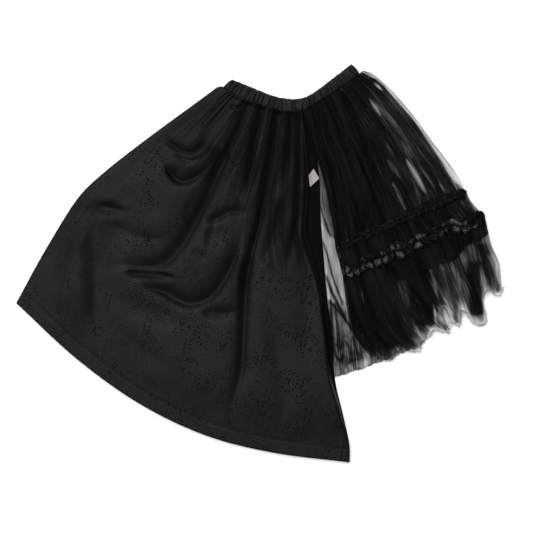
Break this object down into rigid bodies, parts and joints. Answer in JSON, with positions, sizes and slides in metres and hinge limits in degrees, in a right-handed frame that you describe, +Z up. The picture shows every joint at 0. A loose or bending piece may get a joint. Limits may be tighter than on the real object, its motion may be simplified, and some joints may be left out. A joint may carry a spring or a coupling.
{
  "type": "jacquard and tulle skirt",
  "caption": "Black asymmetric skirt laid flat: a long satin jacquard half and a shorter layered tulle half with ruffles, gathered into an elastic waistband.",
  "frame": {"origin": "on the surface that the skirt lies on, under the middle of its own bounding box", "axes": "+X to the right across the laid skirt, from the long jacquard point to the tulle side; +Y towards the waistband; +Z up off the surface"},
  "size_m": [1.02, 0.834, 0.0198],
  "materials": {
    "satin_jacquard": "black figured satin, soft sheen, leaf and flower sprays duller than the ground",
    "satin_band": "plain black satin, gathered over elastic",
    "tulle": "soft black net in gathered layers, see-through where it lies single",
    "ruche": "black satin ribbon gathered along its middle, frilled edges",
    "label_tape": "pale pink woven tape, blank"
  },
  "bodies": {
    "root": {"waistband_front": "satin_band", "waistband_back": "satin_band", "jacquard_front": "satin_jacquard", "jacquard_back": "satin_jacquard", "hem_front": "satin_jacquard", "hem_back": "satin_jacquard", "tulle_front": "tulle", "tulle_back": "tulle", "tulle_inset_front": "tulle", "tulle_inset_back": "tulle", "flounce_front": "tulle", "flounce_back": "tulle", "tulle_underlayer": "tulle", "ruffle_upper_front": "ruche", "ruffle_upper_back": "ruche", "ruffle_lower_front": "ruche", "ruffle_lower_back": "ruche", "care_label": "label_tape"}
  },
  "joints": []
}
